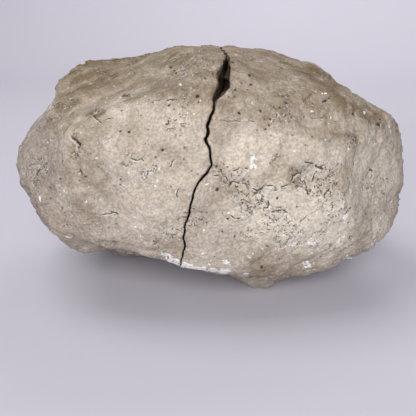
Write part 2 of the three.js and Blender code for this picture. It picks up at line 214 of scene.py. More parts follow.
# ---- Stage, in metres ----
FLOOR_FRONT = -3.0
FLOOR_BACK = 1.1
FLOOR_HALF_WIDTH = 3.2
FLOOR_BEND = 0.5  # how far from the fold its curve starts
BEND_STEPS = 24
AT_FOLD = 1e-6  # this near, a corner lies on the fold
BACKDROP_HEIGHT = 2.2
LIGHTS = [  # name, the setting with its power, size, place and target
    ("Key light", "key_power", 0.7, (-0.07, -1.25, 0.76), (0, 0, 0.05)),
    ("Top light", "top_power", 0.6, (-0.42, 0.0, 1.1), (0.05, 0.1, 0.05)),
    ("Backdrop light", "backdrop_power", 0.7, (0.3, 0.6, 1.0), (0.35, 1.3, 0.15)),
]
LAMP_COLOUR = "FFFCF8"
ROOM_COLOUR = "DDE4F6"
LOOKED_AT = (-0.0005, 0, 0.036)
SENSOR_WIDTH = 36  # mm
NEAREST_SEEN = 0.01

# ---- Settings ----


def linear(code):
    """A linear colour from an sRGB hex code."""
    channels = [int(code[i : i + 2], 16) / 255 for i in (0, 2, 4)]
    return tuple(c / 12.92 if c <= 0.04045 else ((c + 0.055) / 1.055) ** 2.4 for c in channels)


class GeodeRelief(bpy.types.PropertyGroup):
    """Sizes of the weathered skin."""

    mesh_step: FloatProperty(
        name="Mesh step", description="Distance between the points of the skin",
        default=0.0009, min=0.0007, unit="LENGTH", precision=5,
    )
    lump_height: FloatProperty(
        name="Lumps", description="Height of the lumps, about 20 mm across",
        default=0.0009, unit="LENGTH", precision=5,
    )
    ledge_height: FloatProperty(
        name="Ledges", description="Height of the chipped flats, about 10 mm across",
        default=0.0011, unit="LENGTH", precision=5,
    )
    ripple_height: FloatProperty(
        name="Bumps", description="Height of the small bumps, about 5 mm across",
        default=0.0005, unit="LENGTH", precision=5,
    )
    crack_wander: FloatProperty(
        name="Crack wander", description="How far the crack strays from side to side",
        default=0.00055, unit="LENGTH", precision=5,
    )
    seed: IntProperty(name="Seed", description="Changes the relief that has no fixed place", default=11)


class GeodeColours(bpy.types.PropertyGroup):
    """Colours of the stone."""

    pale: FloatVectorProperty(
        name="Pale stone", description="Limestone",
        subtype="COLOR", size=3, default=linear("C3B9AC"), min=0, max=1,
    )
    buff: FloatVectorProperty(
        name="Buff stone", description="Limestone where it is browner",
        subtype="COLOR", size=3, default=linear("AFA292"), min=0, max=1,
    )
    chalk: FloatVectorProperty(
        name="Chalky stone", description="Limestone where it is rubbed clean",
        subtype="COLOR", size=3, default=linear("DAD0C1"), min=0, max=1,
    )
    # Also paints the shade on the crown's shoulders.
    stain: FloatVectorProperty(
        name="Soil stain", description="Brown left by soil on the crown and the foot",
        subtype="COLOR", size=3, default=linear("77664F"), min=0, max=1,
    )
    grey: FloatVectorProperty(
        name="Grey stone", description="The greyer stone of the two ends",
        subtype="COLOR", size=3, default=linear("A0958C"), min=0, max=1,
    )
    # Also paints the highlights on the crevices' lips.
    calcite: FloatVectorProperty(
        name="Calcite", description="Fresh white calcite",
        subtype="COLOR", size=3, default=linear("F5F3EF"), min=0, max=1,
    )
    # Dirt and painted shade: darkens the pits and the crevices, and paints the shade deep in the crack and
    # the chip.
    crevice: FloatVectorProperty(
        name="Crevices", description="Dirt in pits and crevices",
        subtype="COLOR", size=3, default=linear("36281B"), min=0, max=1,
    )
    broken: FloatVectorProperty(
        name="Broken stone", description="The inside, where the nodule split",
        subtype="COLOR", size=3, default=linear("A0968A"), min=0, max=1,
    )
    floor: FloatVectorProperty(
        name="Floor", description="Floor and backdrop",
        subtype="COLOR", size=3, default=linear("C0BEC8"), min=0, max=1,
    )


class GeodeStage(bpy.types.PropertyGroup):
    """Camera and lights."""

    lens: FloatProperty(name="Lens", description="Focal length", default=50, unit="CAMERA")
    distance: FloatProperty(
        name="Camera distance", description="From the camera to what it looks at",
        default=0.312, unit="LENGTH",
    )
    elevation: FloatProperty(
        name="Camera elevation", description="Above the horizontal", default=DIP, subtype="ANGLE"
    )
    key_power: FloatProperty(
        name="Key light", description="From the front and above", default=18, unit="POWER"
    )
    top_power: FloatProperty(name="Top light", description="From above and left", default=5.6, unit="POWER")
    backdrop_power: FloatProperty(
        name="Backdrop light", description="Towards the backdrop", default=6.2, unit="POWER"
    )
    ambient: FloatProperty(name="Ambient", description="Light from all around", default=0.3, min=0)


# ---- Noise ----


def steps_between(values, low, high):
    """0 at low and less, 1 at high and more, and a smooth rise between."""
    share = np.clip((values - low) / (high - low), 0, 1)
    return share * share * (3 - 2 * share)


def shuffled(seed):
    """A shuffled table of 0 to 255, and what draws the rest of a pattern."""
    draw = np.random.default_rng(seed)
    return draw.permutation(256), draw


def keys_of(table, corners):
    """One number from 0 to 255 for each corner of a lattice."""
    first, second, third = (corners[:, axis] & 255 for axis in range(3))
    return table[(table[(table[first] + second) & 255] + third) & 255]


def directions(draw):
    """Random directions, one for each number from 0 to 255."""
    arrows = draw.normal(size=(256, 3))
    return arrows / np.linalg.norm(arrows, axis=1, keepdims=True)


NOISE_HEIGHT = 1.6  # brings the noise to about -1 to 1


def noise(points, wavelength, seed):
    """Smooth noise, about -1 to 1, with lumps about a wavelength across."""
    table, draw = shuffled(seed)
    slopes = directions(draw)
    places = points / wavelength
    corners = np.floor(places).astype(int)
    inside = places - corners
    fade = inside**3 * (inside * (inside * 6 - 15) + 10)
    total = np.zeros(len(points))
    for step in np.ndindex(2, 2, 2):
        weight = np.where(step, fade, 1 - fade).prod(axis=1)
        total += weight * ((inside - step) * slopes[keys_of(table, corners + step)]).sum(axis=1)
    return total * NOISE_HEIGHT


def scattered(points, spacing, seed):
    """The distance to the nearest of many scattered spots, its lot, and how its own flat leans there."""
    table, draw = shuffled(seed)
    shifts = draw.random((256, 3))
    lots = draw.random(256)
    leans = directions(draw)
    places = points / spacing
    corners = np.floor(places).astype(int)
    nearest = np.full(len(points), np.inf)
    lot = np.zeros(len(points))
    lean = np.zeros(len(points))
    for step in np.ndindex(3, 3, 3):
        corner = corners + step - 1
        keys = keys_of(table, corner)
        apart = corner + shifts[keys] - places
        gaps = np.linalg.norm(apart, axis=1)
        closer = gaps < nearest
        lot = np.where(closer, lots[keys], lot)
        lean = np.where(closer, (apart * leans[keys]).sum(axis=1), lean)
        nearest = np.minimum(nearest, gaps)
    return nearest * spacing, lot, lean


# ---- Marks on the front ----


def as_seen(places):
    """[across, up] of each place as seen from the front, and how strongly the front's marks show there."""
    up = places[:, 2] * math.cos(DIP) + places[:, 1] * math.sin(DIP)
    out = places[:, 2] * math.sin(DIP) - places[:, 1] * math.cos(DIP)
    return np.column_stack((places[:, 0], up)), steps_between(out, *FRONT_FROM)


def along_line(seen, line):
    """How far each place lies from a line through its corners, how far aside and how far past its end."""
    nearest = np.full(len(seen), np.inf)
    aside = np.zeros(len(seen))
    corners = np.array(line, float)
    for start, end in zip(corners, corners[1:]):
        along = (end - start) / np.linalg.norm(end - start)
        from_start = seen - start
        share = np.clip(from_start @ along, 0, np.linalg.norm(end - start))
        gaps = np.linalg.norm(from_start - share[:, None] * along, axis=1)
        side = from_start[:, 0] * along[1] - from_start[:, 1] * along[0]
        aside = np.where(gaps < nearest, side, aside)
        nearest = np.minimum(nearest, gaps)
    return nearest, aside, np.sqrt(np.maximum(nearest**2 - aside**2, 0))


def distance_to_line(seen, line):
    """How far each place lies from a line through its corners."""
    return along_line(seen, line)[0]


def groove(gaps, width):
    """The share of a groove's depth at some distance from its middle."""
    return np.exp(-((gaps / width) ** 2))


def covered(seen, marks, ragged=0.0):
    """How strongly any blob of a kind covers each place."""
    cover = np.zeros(len(seen))
    for across, up, half_across, half_up, strength in marks:
        away = np.linalg.norm((seen - (across, up)) / (half_across, half_up), axis=1)
        cover = np.maximum(cover, strength * (1 - steps_between(away + ragged, 0.6, 1.3)))
    return cover


def above(seen, edge):
    """How far each place lies above an edge."""
    across, up = np.array(edge, float).T
    return seen[:, 1] - np.interp(seen[:, 0], across, up)


# ---- Meshes as arrays ----


def coordinates(mesh):
    """The places of a mesh's points, in millimetres."""
    places = np.empty(len(mesh.vertices) * 3)
    mesh.vertices.foreach_get("co", places)
    return places.reshape(-1, 3) / MM


def set_coordinates(mesh, places):
    """Puts a mesh's points at these places, in millimetres."""
    mesh.vertices.foreach_set("co", (places * MM).ravel())
    mesh.update()


def tree_of(*meshes):
    """One search tree over the faces of several meshes, in millimetres."""
    joined = bmesh.new()
    for mesh in meshes:
        joined.from_mesh(mesh)
    bmesh.ops.scale(joined, vec=(1 / MM,) * 3, verts=joined.verts)
    tree = BVHTree.FromBMesh(joined)
    joined.free()
    return tree


def smoothed(values, pairs, rounds, share):
    """Values on a mesh's points, each moved a share of the way to its neighbours' mean, several times."""
    ends = pairs.ravel()
    others = pairs[:, ::-1].ravel()
    neighbours = np.bincount(ends)[:, None]
    for _ in range(rounds):
        total = np.column_stack([np.bincount(ends, column[others]) for column in values.T])
        values = values + share * (total / neighbours - values)
    return values


# ---- Skin ----


class Skin:
    """The nodule's whole outside, with the crack and the chip bridged over, as a reach from the centre."""

    RAYS_FROM = 200.0  # mm, well outside
    BALL_STEPS = 6
    BRIDGED = 3  # how many of its points are bridged over on either side
    SOFTENED = 2  # how many rounds of smoothing it gets
    SOFTENED_SHARE = 0.5

    def __init__(self, meshes):
        ball = bmesh.new()
        bmesh.ops.create_icosphere(ball, subdivisions=self.BALL_STEPS, radius=1.0)
        bmesh.ops.scale(ball, vec=Vector(HALF_SIZES), verts=ball.verts)
        solids = tree_of(*meshes)
        rays = [vertex.co.normalized() for vertex in ball.verts]
        reach = np.array([self.first_hit(solids, ray) for ray in rays])
        pairs = np.array([[vertex.index for vertex in edge.verts] for edge in ball.edges])
        for widest in (np.maximum, np.minimum):
            for _ in range(self.BRIDGED):
                reach = self.spread(reach, pairs, widest)
        reach = smoothed(reach[:, None], pairs, self.SOFTENED, self.SOFTENED_SHARE)[:, 0]
        for vertex, ray, length in zip(ball.verts, rays, reach):
            vertex.co = ray * length
        self.tree = BVHTree.FromBMesh(ball)
        ball.free()

    def first_hit(self, solids, ray):
        """How far from the centre a ray from outside first meets the stone."""
        start = Vector(CENTRE) + ray * self.RAYS_FROM
        return self.RAYS_FROM - solids.ray_cast(start, -ray)[3]

    @staticmethod
    def spread(reach, pairs, widest):
        """Each reach becomes the greatest, or the least, of it and its neighbours'."""
        spread = reach.copy()
        widest.at(spread, pairs[:, 0], reach[pairs[:, 1]])
        widest.at(spread, pairs[:, 1], reach[pairs[:, 0]])
        return spread

    def under(self, places):
        """For each place: the way out from the centre, the skin's place over it, and its depth under that."""
        arms = places - CENTRE
        lengths = np.linalg.norm(arms, axis=1)
        outwards = arms / lengths[:, None]
        origin = Vector((0, 0, 0))
        reach = np.array([self.tree.ray_cast(origin, Vector(ray))[3] or 0.0 for ray in outwards])
        return outwards, CENTRE + outwards * reach[:, None], reach - lengths


# ---- Relief ----

# The noises of the relief: how many millimetres across, and which of the seed's patterns each one takes.
COARSE, MIDDLE = (13, 1), (4.6, 2)
SHIFTS = ((2.6, 3), (2.6, 4))  # what makes the edges of marks uneven
ROUGHNESS = (34, 5)
LUMPS, SMALL_LUMPS = (21, 6), (10.5, 7)
LEDGES = (10, 8)
BUMPS, SMALL_BUMPS = (5.4, 9), (2.4, 10)
STREAKS, WRINKLES, BEDDING = (3.4, 11), (4, 12), (3.6, 18)
CREVICE_BREAKS = (3.1, 13)
WINDING, WINDING_BREAKS = (4.4, 14), (3.6, 15)
PITS = (7.5, 16)
CALCITE_GRAIN = (1.8, 17)

# Heights, depths and widths of the relief that has a place, in millimetres.
STREAK_HEIGHT, BEDDING_HEIGHT, WRINKLE_HEIGHT, GRAIN_HEIGHT = 0.3, 0.15, 0.45, 0.3
BED_DEPTH, BED_WIDTH = 0.45, 0.9
OVERHANG_DEPTH, OVERHANG_WIDTH = 0.9, 1.6
WINDING_DEPTH, PIT_DEPTH = 0.5, 0.7
RIDGE_WIDTH = 3  # of the rubbed ridge at the right end
# The part of a crevice's depth that is not in the mesh is painted dark instead, as dirt and painted shade.
SHALLOWER = 0.5  # how much of a crevice's depth is in the mesh, as the rest is painted
PITTED = 0.6  # the lot above which a scattered spot is a pit

# Between which two values each part of the relief and each tone starts or ends, in millimetres.
ROUGH_FROM = (50, 75)  # from the middle, along the stone
STREAKED_FROM = (-14, 4)  # above the stain's edge
CREVICE_SIDES_END = (1.3, 1.9)
CREVICE_TIPS_END = (0, 0.7)
FLAKE_FROM = (-23.5, -21)  # across
STAIN_FROM = (-3, 4)  # above the stain's edge, and above the dark line
FAR_STAIN_FROM = (76, 108)  # up, where the front's marks don't reach
GREY_FROM = (-1, 5)  # past the ridge at the right end
RIDGE_RUBBED_TO = (55, 66)  # up

# Between which two heights of a noise a thing starts or is whole.
CREVICE_WHOLE = (-0.45, -0.05)
WINDING_WHOLE = (0.4, 0.8)
GREY_PATCHES = (0, 0.6)
WINDING_WIDTH = 0.11  # a share of its noise's height


class Spots:
    """Places on the skin, and what the relief and the colours are worked out from there."""

    def __init__(self, places, seed):
        self.places = places
        self.seed = seed
        seen, self.front = as_seen(places)
        self.coarse = self.noise(COARSE)
        self.middle = self.noise(MIDDLE)
        # The edges of lines stray by about half a millimetre, and those of blobs by a fifth of their size.
        self.seen = seen + 0.5 * np.column_stack([self.noise(shift) for shift in SHIFTS])
        self.ragged = 0.22 * self.coarse + 0.2 * self.middle
        # Beds arch over the crown.
        arch = self.seen[:, 1] + 0.5 * np.abs(self.seen[:, 0])
        drawn_out = np.column_stack((0.25 * self.seen[:, 0], arch, 0 * arch))
        wavelength, pattern = STREAKS
        self.streaks = noise(drawn_out, wavelength, seed + pattern)
        self.high = self.front * steps_between(above(self.seen, STAIN_EDGE), *STREAKED_FROM)

    def noise(self, kind, stretch=1, moved=0):
        """One of the relief's noises, which a stretch under 1 draws out along an axis."""
        wavelength, pattern = kind
        return noise(self.places * stretch + moved, wavelength, self.seed + pattern)

    def scattered(self, kind, moved=0):
        """One of the relief's scattered patterns."""
        spacing, pattern = kind
        return scattered(self.places + moved, spacing, self.seed + pattern)

    def covered(self, marks):
        """How strongly blobs on the front cover each place, with uneven edges."""
        return self.front * covered(self.seen, marks, self.ragged)


def lumps(spots, relief):
    """Lumps, flats with small ledges between them, and bumps. The ends are the roughest."""
    ends = steps_between(np.abs(spots.places[:, 0]), *ROUGH_FROM)
    rough = 0.8 + 0.4 * spots.noise(ROUGHNESS) + 0.5 * ends
    height = relief.lump_height / MM * (spots.noise(LUMPS) + 0.7 * spots.noise(SMALL_LUMPS))
    leans = spots.scattered(LEDGES, 1.5 * spots.middle[:, None])[2]
    height += relief.ledge_height / MM * rough * leans
    height += relief.ripple_height / MM * rough * (spots.noise(BUMPS) + 0.6 * spots.middle)
    height += 0.5 * relief.ripple_height / MM * rough * spots.noise(SMALL_BUMPS)
    return height


def add_beds(height, spots):
    """Adds the bedding, the wrinkles down the valley on the left, the overhang and the small corrections."""
    bedding = BEDDING_HEIGHT * (1 - spots.high) * spots.noise(BEDDING, (0.3, 1, 1))
    height += STREAK_HEIGHT * spots.high * spots.streaks + bedding
    height += WRINKLE_HEIGHT * spots.covered([WRINKLED]) * spots.noise(WRINKLES, (1, 1, 0.25))
    for bed in BEDS:
        height -= BED_DEPTH * spots.front * groove(distance_to_line(spots.seen, bed), BED_WIDTH)
    height -= OVERHANG_DEPTH * spots.front * groove(distance_to_line(spots.seen, OVERHANG), OVERHANG_WIDTH)
    for place, radius, push in PUSHES:
        height += push * groove(np.linalg.norm(spots.places - place, axis=1), radius)


def cut_crevices(height, spots):
    """Cuts the crevices that have a place, and gives how far aside of one each spot lies, and how near it."""
    crevice_side = np.full(len(height), FAR_ASIDE)
    crevice_near = np.zeros(len(height))
    closest = np.full(len(height), np.inf)
    broken_up = steps_between(spots.noise(CREVICE_BREAKS), *CREVICE_WHOLE)
    for line, width, depth in CREVICES:
        gaps, aside, past = along_line(spots.seen, line)
        lasting = 1.0 if depth >= LASTING else broken_up
        height -= SHALLOWER * depth * spots.front * groove(gaps, max(width, NARROWEST)) * lasting
        closer = gaps < closest
        crevice_side = np.where(closer, np.clip(aside / width, -FAR_ASIDE, FAR_ASIDE), crevice_side)
        near = 1 - steps_between(past, *CREVICE_TIPS_END)
        near *= 1 - steps_between(np.abs(aside), *CREVICE_SIDES_END)
        crevice_near = np.where(closer, spots.front * near * lasting, crevice_near)
        closest = np.minimum(closest, gaps)
    return crevice_side, crevice_near


def cut_holes(height, spots, porous):
    """Cuts the holes that have a place, winding crevices and pits, and gives how many radii off a hole is."""
    hole = np.full(len(height), FAR_ASIDE)
    for across, up, radius, depth in HOLES:
        gaps = np.linalg.norm(spots.seen - (across, up), axis=1)
        height -= depth * spots.front * groove(gaps, radius)
        hole = np.minimum(hole, np.where(spots.front > 0.5, gaps / radius, FAR_ASIDE))
    winding = spots.noise(WINDING, moved=0.8 * spots.middle[:, None])
    broken_up = steps_between(spots.noise(WINDING_BREAKS) + 0.5 * porous, *WINDING_WHOLE)
    height -= WINDING_DEPTH * groove(winding, WINDING_WIDTH) * broken_up * porous
    # Each pit has its own width, from its lot.
    gaps, lot, _ = spots.scattered(PITS)
    height -= PIT_DEPTH * groove(gaps, 0.5 + 0.4 * lot) * (lot > PITTED)
    return np.minimum(hole, np.where(lot > PITTED, 1.2 * gaps / (0.3 + 0.5 * lot), FAR_ASIDE))


def tones(spots):
    """How strongly each place is stained by soil, with painted shade on the shoulders, rubbed chalky, and
    grey.
    """
    uneven = 3 * spots.coarse + 2 * spots.middle
    over = above(spots.seen, STAIN_EDGE) + uneven
    darkest = above(spots.seen, DARK_EDGE) + uneven
    stained = 0.38 * steps_between(over, *STAIN_FROM) + 0.3 * steps_between(darkest, *STAIN_FROM)
    stained *= spots.front
    stained += (1 - spots.front) * steps_between(spots.places[:, 2] + 10 * spots.coarse, *FAR_STAIN_FROM)
    stained = np.maximum(stained, spots.covered(SOIL_AND_SHADE))
    for line, width, strength in SOIL_AND_SHADE_LINES:
        along = groove(distance_to_line(spots.seen, line), width)
        stained = np.maximum(stained, spots.front * strength * along)
    stained = stained * (1 + 0.25 * spots.high * spots.streaks) + 0.08 * spots.high * spots.streaks

    past_ridge = spots.seen[:, 0] - np.interp(spots.seen[:, 1], *np.array(END_RIDGE).T[::-1])
    on_ridge = 0.6 * groove(past_ridge, RIDGE_WIDTH) * (1 - steps_between(spots.seen[:, 1], *RIDGE_RUBBED_TO))
    chalky = np.maximum(spots.covered(CHALKY), spots.front * on_ridge) * (1 - 0.8 * stained)
    stained = np.clip(stained, 0, 1)
    hidden = (1 - spots.front) * steps_between(spots.coarse, *GREY_PATCHES) * 0.6
    greyish = np.maximum(spots.covered(GREYISH), hidden)
    greyish = np.maximum(greyish, 0.35 * spots.front * steps_between(past_ridge, *GREY_FROM))
    return {"stained": stained, "chalky": chalky, "greyish": greyish * (1 - 0.5 * stained)}


def relief_of(skin_places, relief):
    """How high the weathered relief stands over the skin in millimetres, and what the stone is painted by."""
    spots = Spots(skin_places, relief.seed)
    porous = np.maximum(spots.covered(POROUS), (1 - spots.front) * 0.5)
    height = lumps(spots, relief)
    add_beds(height, spots)
    crevice_side, crevice_near = cut_crevices(height, spots)
    hole = cut_holes(height, spots, porous)
    flake = groove(distance_to_line(spots.seen, SPALL) ** 2, 3.0)
    flake *= steps_between(spots.seen[:, 0], *FLAKE_FROM)
    calcite = spots.front * np.maximum(flake, covered(spots.seen, CALCITE, 0.6 * spots.middle))
    height += GRAIN_HEIGHT * calcite * spots.noise(CALCITE_GRAIN)
    marks = {"crevice_side": crevice_side, "crevice_near": crevice_near, "hole": hole}
    return height, {**marks, "porous": porous, "calcite": calcite, **tones(spots)}


def near_marks(seen, front):
    """Which points lie near a crevice, a hole or the most porous place, where the skin needs a finer mesh."""
    near = covered(seen, POROUS[:1]) > 0.3
    for line, _, _ in CREVICES:
        near |= distance_to_line(seen, line) < FINE_BY_CREVICE
    for across, up, radius, _ in HOLES:
        near |= np.linalg.norm(seen - (across, up), axis=1) < radius + FINE_BY_HOLE
    return near & (front > 0.5)


# ---- Halves ----

# How wide the gap between the halves is at the skin: as packed, and as shown.
RIM_CLOSED = ((0, 0.5, 0.9, 1.5, 2.0, 3.0, 5.0, 500), (0, 0.45, 0.6, 0.8, 0.9, 2.0, 5.0, 500))
CRACK_AJAR = 0.5  # how much less the crack is closed up in its upper part
MERGED_WITHIN = 0.001  # mm
SOFT_ROUNDS, SOFT_SHARE = 26, 0.6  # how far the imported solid's flat triangles are smoothed away
# The crack's straying: each share, how many millimetres from bend to bend, and its pattern.
WANDERS = ((1, 5.5, 30), (0.6, 2.4, 31), (0.4, 1.3, 32))

# Where the mesh is finer: so near to a mark, or so near to the other half or the skin, in millimetres.
FINE_BY_CREVICE, FINE_BY_HOLE = 1.2, 0.8
FINE_RIM_GAP, FINE_RIM_DEPTH, FINE_CHIP_DEPTH = 2.2, 2.5, 6

# Between which two values each thing starts or ends, in millimetres.
CHIP_ENDS = (4, 6)  # from the chip's middle line
LIP_ENDS = (6, 8)  # from the same line, for the work on the chip's edge
LIP_FROM, LIP_TO = (76.5, 78.5), (89, 93)  # up, for the same
LIP_FILLED_FROM = (-0.1, 0.4)  # past the edge
LIP_CUT_ENDS = (-0.5, 0)  # past the edge
LIP_CUT_UNDER = (1, 3)  # under the skin
SOFT_FROM_GAP = (1.8, 3.6)  # from the other half
SOFT_FROM_TABLE = (0.3, 1.5)
SKIN_ENDS = (3, 6)  # under the skin
BROKEN_FROM = (1.2, 3.0)
BROKEN_FROM_IN_CHIP = (0.7, 1.6)
CRACK_SIDES_END = (1.8, 5)  # from the other half
AJAR_FROM = (54, 62)  # up
WIDER_ENDS = (6, 12)  # under the skin
RELIEF_ENDS = (2.5, 8)
RELIEF_FROM_TABLE = (0, 5)
# Painted shade deep in the crack, from this far under the skin and where the gap is narrow, and how dark the
# painted shade on the chip's walls is.
CRACK_DARK_FROM = (0.45, 1.2)
CRACK_DARK_ENDS = (1.1, 1.9)  # as wide a gap as this lets light in
CHIP_DARK = 0.6  # how dark its walls turn


def even_mesh(name, relief):
    """A copy of a packed half's mesh, remade with points that lie evenly apart."""
    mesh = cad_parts[name].data.copy()
    mesh.materials.clear()
    shape = bmesh.new()
    shape.from_mesh(mesh)
    bmesh.ops.remove_doubles(shape, verts=shape.verts, dist=MERGED_WITHIN * MM)
    shape.to_mesh(mesh)
    shape.free()
    half = bpy.data.objects.new(HALVES[name], mesh)
    bpy.context.scene.collection.objects.link(half)
    remesh = half.modifiers.new("Even mesh", "REMESH")
    remesh.mode = "VOXEL"
    remesh.voxel_size = relief.mesh_step
    remesh.use_smooth_shade = True
    even = bpy.data.meshes.new_from_object(half.evaluated_get(bpy.context.evaluated_depsgraph_get()))
    half.modifiers.clear()
    half.data = even
    bpy.data.meshes.remove(mesh)
    even.name = HALVES[name]
    return half


def soften_facets(mesh, weight):
    """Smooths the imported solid's flat triangles away, and gives back what that takes off its lumps."""
    places = coordinates(mesh)
    pairs = np.empty(len(mesh.edges) * 2, np.int32)
    mesh.edges.foreach_get("vertices", pairs)
    pairs = pairs.reshape(-1, 2)
    soft = smoothed(places, pairs, SOFT_ROUNDS, SOFT_SHARE)
    lost = (places - soft) * weight[:, None]
    soft = places - lost
    set_coordinates(mesh, soft + smoothed(lost, pairs, SOFT_ROUNDS, SOFT_SHARE) * weight[:, None])


def refine(mesh, chosen):
    """Halves the mesh's step between the chosen points."""
    shape = bmesh.new()
    shape.from_mesh(mesh)
    edges = [edge for edge in shape.edges if all(chosen[vertex.index] for vertex in edge.verts)]
    bmesh.ops.subdivide_edges(shape, edges=edges, cuts=1, use_grid_fill=True)
    shape.to_mesh(mesh)
    shape.free()


def across_crack(places, facing):
    """How far each place lies from the other half, and the way to it."""
    nearest = [facing.find_nearest(Vector(place)) for place in places]
    gap = np.array([found[3] for found in nearest])
    way = np.array([found[0] for found in nearest]) - places
    return gap, way / np.maximum(gap, 0.01)[:, None]


def sharper_lip(seen, depth):
    """How far out each place by the chip's edge moves.

    The worn slope outside the edge is filled, and the stone inside it is cut away.
    """
    edge, up = np.array(CHIP_LIP).T
    past_edge = seen[:, 0] - np.interp(seen[:, 1], up, edge)
    along = steps_between(seen[:, 1], *LIP_FROM) * (1 - steps_between(seen[:, 1], *LIP_TO))
    in_skin = 1 - steps_between(depth, *SKIN_ENDS)
    fill = steps_between(past_edge, *LIP_FILLED_FROM) * in_skin * np.maximum(depth, 0)
    by_skin = 1 - steps_between(depth, *LIP_CUT_UNDER)
    cut = (1 - steps_between(past_edge, *LIP_CUT_ENDS)) * by_skin * CHIP_CUT
    return along * (fill - cut)


def side_wander(places, seed):
    """How far the crack strays to the side, about -2 to 2, and the same on both halves."""
    level = places * (0, 1, 1)
    return sum(share * noise(level, wavelength, seed + pattern) for share, wavelength, pattern in WANDERS)


def prepared_half(name, facing, skin, relief):
    """An even mesh of one packed half with its facets softened, and a finer step where the detail is."""
    half = even_mesh(name, relief)
    places = coordinates(half.data)
    gap = across_crack(places, facing)[0]
    depth = skin.under(places)[2]
    seen, front = as_seen(places)
    by_chip = front * (1 - steps_between(distance_to_line(seen, CHIP_SPINE), *CHIP_ENDS))
    weight = steps_between(gap, *SOFT_FROM_GAP) * steps_between(places[:, 2], *SOFT_FROM_TABLE)
    weight *= (1 - steps_between(depth, *SKIN_ENDS)) * (1 - by_chip)
    soften_facets(half.data, weight)
    by_rim = (gap < FINE_RIM_GAP) & (depth < FINE_RIM_DEPTH)
    in_chip = (by_chip > 0.5) & (depth < FINE_CHIP_DEPTH)
    refine(half.data, near_marks(seen, front) | by_rim | in_chip)
    return half


def fine_half(name, other, skin, relief):
    """A finely meshed copy of one packed half, weathered all over and rough where it is broken."""
    facing = tree_of(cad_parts[other].data)
    half = prepared_half(name, facing, skin, relief)
    mesh = half.data
    places = coordinates(mesh)
    gap, way = across_crack(places, facing)
    outwards, skin_places, depth = skin.under(places)
    seen, front = as_seen(places)
    from_spine = distance_to_line(seen, CHIP_SPINE)
    by_chip = front * (1 - steps_between(from_spine, *CHIP_ENDS))
    height, masks = relief_of(skin_places, relief)

    # The chip's right edge is sharpened, the crack is closed up, and the chip is widened.
    if name == "right_half":
        moved = sharper_lip(seen, depth) * front * (1 - steps_between(from_spine, *LIP_ENDS))
        places += outwards * moved[:, None]
        depth = depth - moved
    inside = steps_between(depth, *BROKEN_FROM) * (1 - by_chip)
    inside += steps_between(depth, *BROKEN_FROM_IN_CHIP) * by_chip
    closing = (gap - np.interp(gap, *RIM_CLOSED)) / 2
    closing *= 1 - CRACK_AJAR * steps_between(seen[:, 1], *AJAR_FROM)
    places += way * (closing * (1 - by_chip))[:, None]
    wider, (low, full_from, full_to, high) = CHIP_WIDER[name]
    tall = steps_between(seen[:, 1], low, full_from) * (1 - steps_between(seen[:, 1], full_to, high))
    places[:, 0] += wider * tall * by_chip * (1 - steps_between(depth, *WIDER_ENDS))

    # The crack wanders, and the skin gets its relief. Nothing goes below the table.
    by_crack = 1 - steps_between(gap, *CRACK_SIDES_END)
    places[:, 0] += relief.crack_wander / MM * by_crack * side_wander(places, relief.seed)
    fade = (1 - steps_between(depth, *RELIEF_ENDS)) * steps_between(places[:, 2], *RELIEF_FROM_TABLE)
    places += outwards * (height * fade)[:, None]
    places[:, 2] = np.maximum(places[:, 2], 0)
    set_coordinates(mesh, places)

    masks["broken"] = inside
    # Painted shade on the chip's walls, and deep in the crack where it is too narrow for light to get in.
    in_chip = by_chip * steps_between(depth, *CHIP_DARK_FROM[name])
    in_crack = steps_between(depth, *CRACK_DARK_FROM) * (1 - steps_between(gap, *CRACK_DARK_ENDS))
    masks["dirty"] = CHIP_DARK * in_chip + (1 - by_chip) * in_crack
    masks["crevice_near"] *= 1 - inside
    masks["hole"] += FAR_ASIDE * inside
    for mask, values in masks.items():
        layer = mesh.attributes.new(mask, "FLOAT", "POINT")
        layer.data.foreach_set("value", values)
    mesh.shade_smooth()
    return half


# ---- Materials ----


def add(tree, kind, inputs=None, out=0, **settings):
    """Adds a node with its settings, values and links, and gives one of its outputs."""
    made = tree.nodes.new("ShaderNode" + kind)
    for setting, value in settings.items():
        setattr(made, setting, value)
    for name, value in (inputs or {}).items():
        if isinstance(value, bpy.types.NodeSocket):
            tree.links.new(value, made.inputs[name])
        else:
            made.inputs[name].default_value = value
    return made.outputs[out] if made.outputs else None


# Sockets by number: a colour Mix node's, and a Map Range node's.
FACTOR, COLOUR_A, COLOUR_B, MIXED = 0, 6, 7, 2
VALUE, LOW, HIGH, TO_LOW, TO_HIGH = 0, 1, 2, 3, 4
COLOURS = {"data_type": "RGBA"}
SMOOTH = {"interpolation_type": "SMOOTHSTEP"}
PAINTED = (
    "crevice_side", "crevice_near", "hole", "porous", "calcite", "stained", "chalky", "greyish", "broken",
    "dirty",
)


def per_metre(millimetres):
    """The scale that makes a pattern this many millimetres across."""
    return 1000 / millimetres


